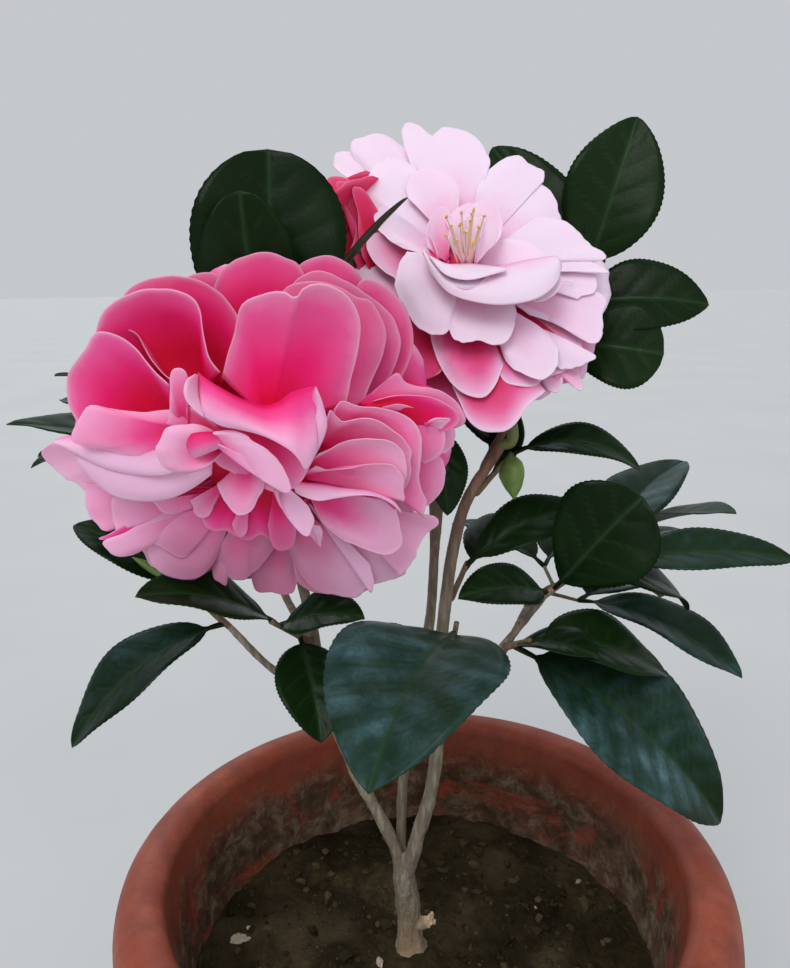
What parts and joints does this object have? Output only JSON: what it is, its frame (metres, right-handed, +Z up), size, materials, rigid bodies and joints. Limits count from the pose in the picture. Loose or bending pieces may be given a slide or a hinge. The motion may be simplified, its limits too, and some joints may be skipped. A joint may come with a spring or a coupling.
{
  "type": "camellia shrub in a pot",
  "caption": "Young evergreen flowering shrub with slender forked stems, glossy dark leaves and large layered pink blooms, in a round rolled-rim clay pot filled with soil.",
  "frame": {"origin": "centre of the pot's flat underside, which stands on the floor", "axes": "+Z up, the plant's front with the large pink bloom faces -Y, +X is to the right of it as seen from the front"},
  "size_m": [0.3564, 0.3323, 0.5516],
  "materials": {
    "clay": "matte",
    "soil": "matte",
    "bark": "matte",
    "leaf": "satin",
    "petal_pink": "matte",
    "petal_pale": "matte",
    "petal_deep": "matte"
  },
  "bodies": {
    "root": {"pot": "clay", "soil": "soil", "trunk": "bark", "stem_left": "bark", "stem_middle": "bark", "stem_right": "bark", "bough_left": "bark", "bough_rear_left": "bark", "bough_right": "bark", "bough_rear_right": "bark", "bough_rear": "bark", "bloom_front": "petal_pink", "bloom_upper": "petal_pale", "bloom_rear": "petal_deep", "leaves_crown_left": "leaf", "leaves_crown_right": "leaf", "leaves_middle_right": "leaf", "leaves_heart": "leaf", "leaves_middle": "leaf", "leaves_right": "leaf", "leaves_lower_right": "leaf", "leaves_front": "leaf", "leaves_lower_left": "leaf", "leaves_under": "leaf", "leaves_rear_left": "leaf", "leaves_rear_right": "leaf", "leaves_rear": "leaf"}
  },
  "joints": []
}
